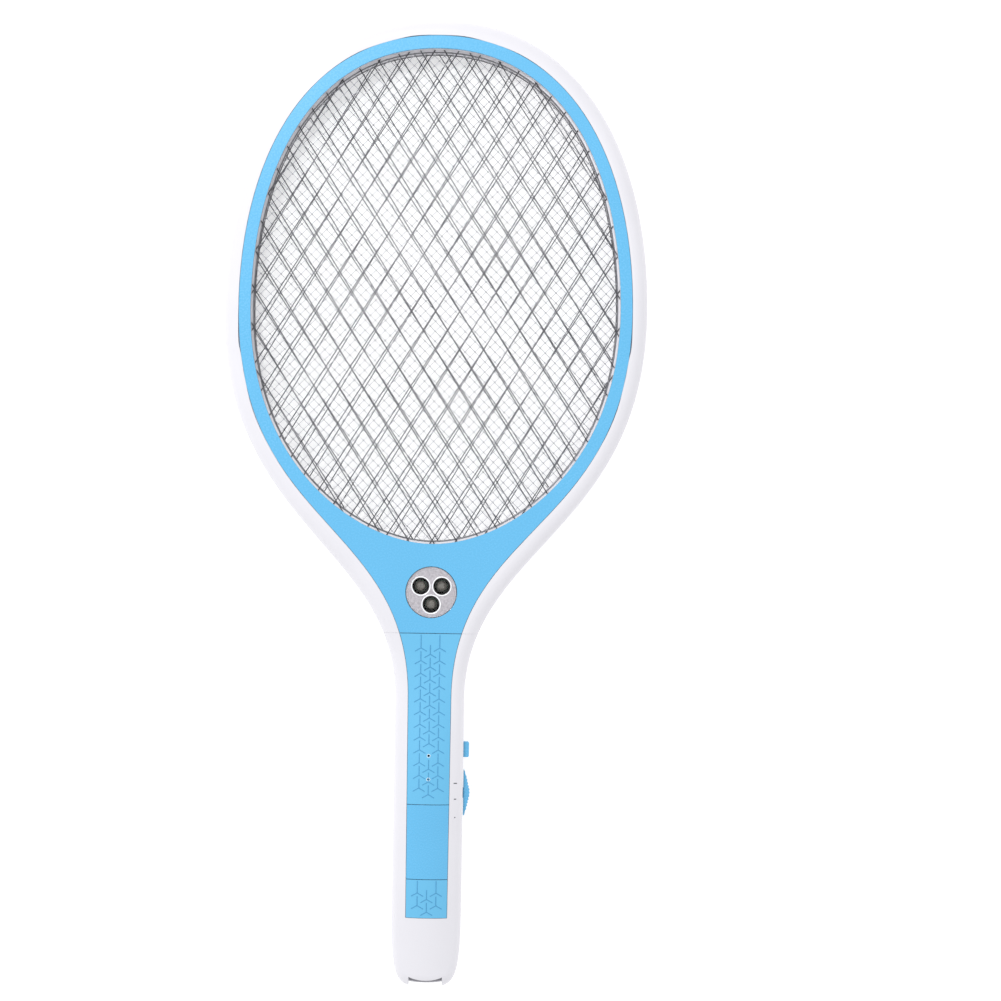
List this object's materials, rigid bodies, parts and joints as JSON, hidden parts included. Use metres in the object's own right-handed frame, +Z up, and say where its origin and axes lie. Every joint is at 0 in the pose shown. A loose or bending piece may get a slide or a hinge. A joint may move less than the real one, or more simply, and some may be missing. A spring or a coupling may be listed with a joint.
{
  "type": "electric fly swatter",
  "caption": "Racket-shaped electric fly swatter with a three-layer wire mesh, a lamp in its neck, a trigger button, a slide switch and a charging socket in its butt.",
  "frame": {"origin": "under the middle of the whole swatter, on the surface it lies on", "axes": "+Y from the handle to the top of the head, +Z up out of the front face, +X to the side with the button"},
  "size_m": [0.1996, 0.455, 0.028],
  "materials": {
    "white_abs": "moulded, satin",
    "blue_abs": "moulded, semi-gloss",
    "blue_grip": "moulded with a fine line pattern",
    "steel_wire": "drawn wire",
    "steel_screw": "zinc plated",
    "clear_lens": "clear moulded plastic",
    "reflector": "metallised plastic",
    "led_epoxy": "cast epoxy",
    "circuit_board": "solder mask",
    "black_plastic": "moulded",
    "ferrite": "sintered",
    "copper_winding": "enamelled copper wire",
    "capacitor_red": "dipped epoxy",
    "capacitor_blue": "dipped epoxy",
    "resistor_body": "lacquered",
    "nickel": "nickel plated",
    "brass_contact": "stamped",
    "cell_wrap": "shrink-wrapped steel can",
    "wire_red": "insulated lead",
    "wire_black": "insulated lead"
  },
  "bodies": {
    "racket": {"head_front_shell": "white_abs", "head_back_shell": "white_abs", "handle_front_shell": "white_abs", "handle_back_shell": "white_abs", "neck_cover": "blue_abs", "grip_upper": "blue_grip", "grip_panel": "blue_abs", "grip_lower": "blue_grip", "front_grid": "steel_wire", "rear_grid": "steel_wire", "middle_grid": "steel_wire", "front_spacer": "white_abs", "rear_spacer": "white_abs", "grid_contacts": "brass_contact", "lamp_lens": "clear_lens", "lamp_reflector": "reflector", "lamp_leds": "led_epoxy", "lamp_board": "circuit_board", "button_switch": "black_plastic", "slide_switch_body": "nickel", "circuit_board": "circuit_board", "transformer_core": "ferrite", "transformer_winding": "copper_winding", "transformer_bobbin": "black_plastic", "storage_capacitor": "capacitor_red", "disc_capacitors": "capacitor_blue", "diodes": "black_plastic", "resistors": "resistor_body", "switching_transistor": "black_plastic", "indicator_leds": "led_epoxy", "battery_cell": "cell_wrap", "battery_tabs": "nickel", "charge_board": "circuit_board", "charging_socket": "nickel", "socket_tongue": "black_plastic", "battery_leads": "wire_red", "charging_leads": "wire_black", "lamp_leads": "wire_black", "high_voltage_leads": "wire_red", "shell_screws": "steel_screw", "board_screws": "steel_screw"},
    "button": {"push_button": "blue_abs", "button_plunger": "black_plastic"},
    "slide": {"slide_knob": "blue_abs", "slide_lever": "black_plastic"}
  },
  "joints": [
    {"name": "button_press", "type": "slide", "parent": "racket", "child": "button", "axis": [-1, 0, 0], "range_m": [0, 0.0012], "stiffness_N_per_m": 400, "springref_m": -0.002},
    {"name": "mode_slide", "type": "slide", "parent": "racket", "child": "slide", "axis": [0, 1, 0], "range_m": [-0.004, 0.004]}
  ]
}
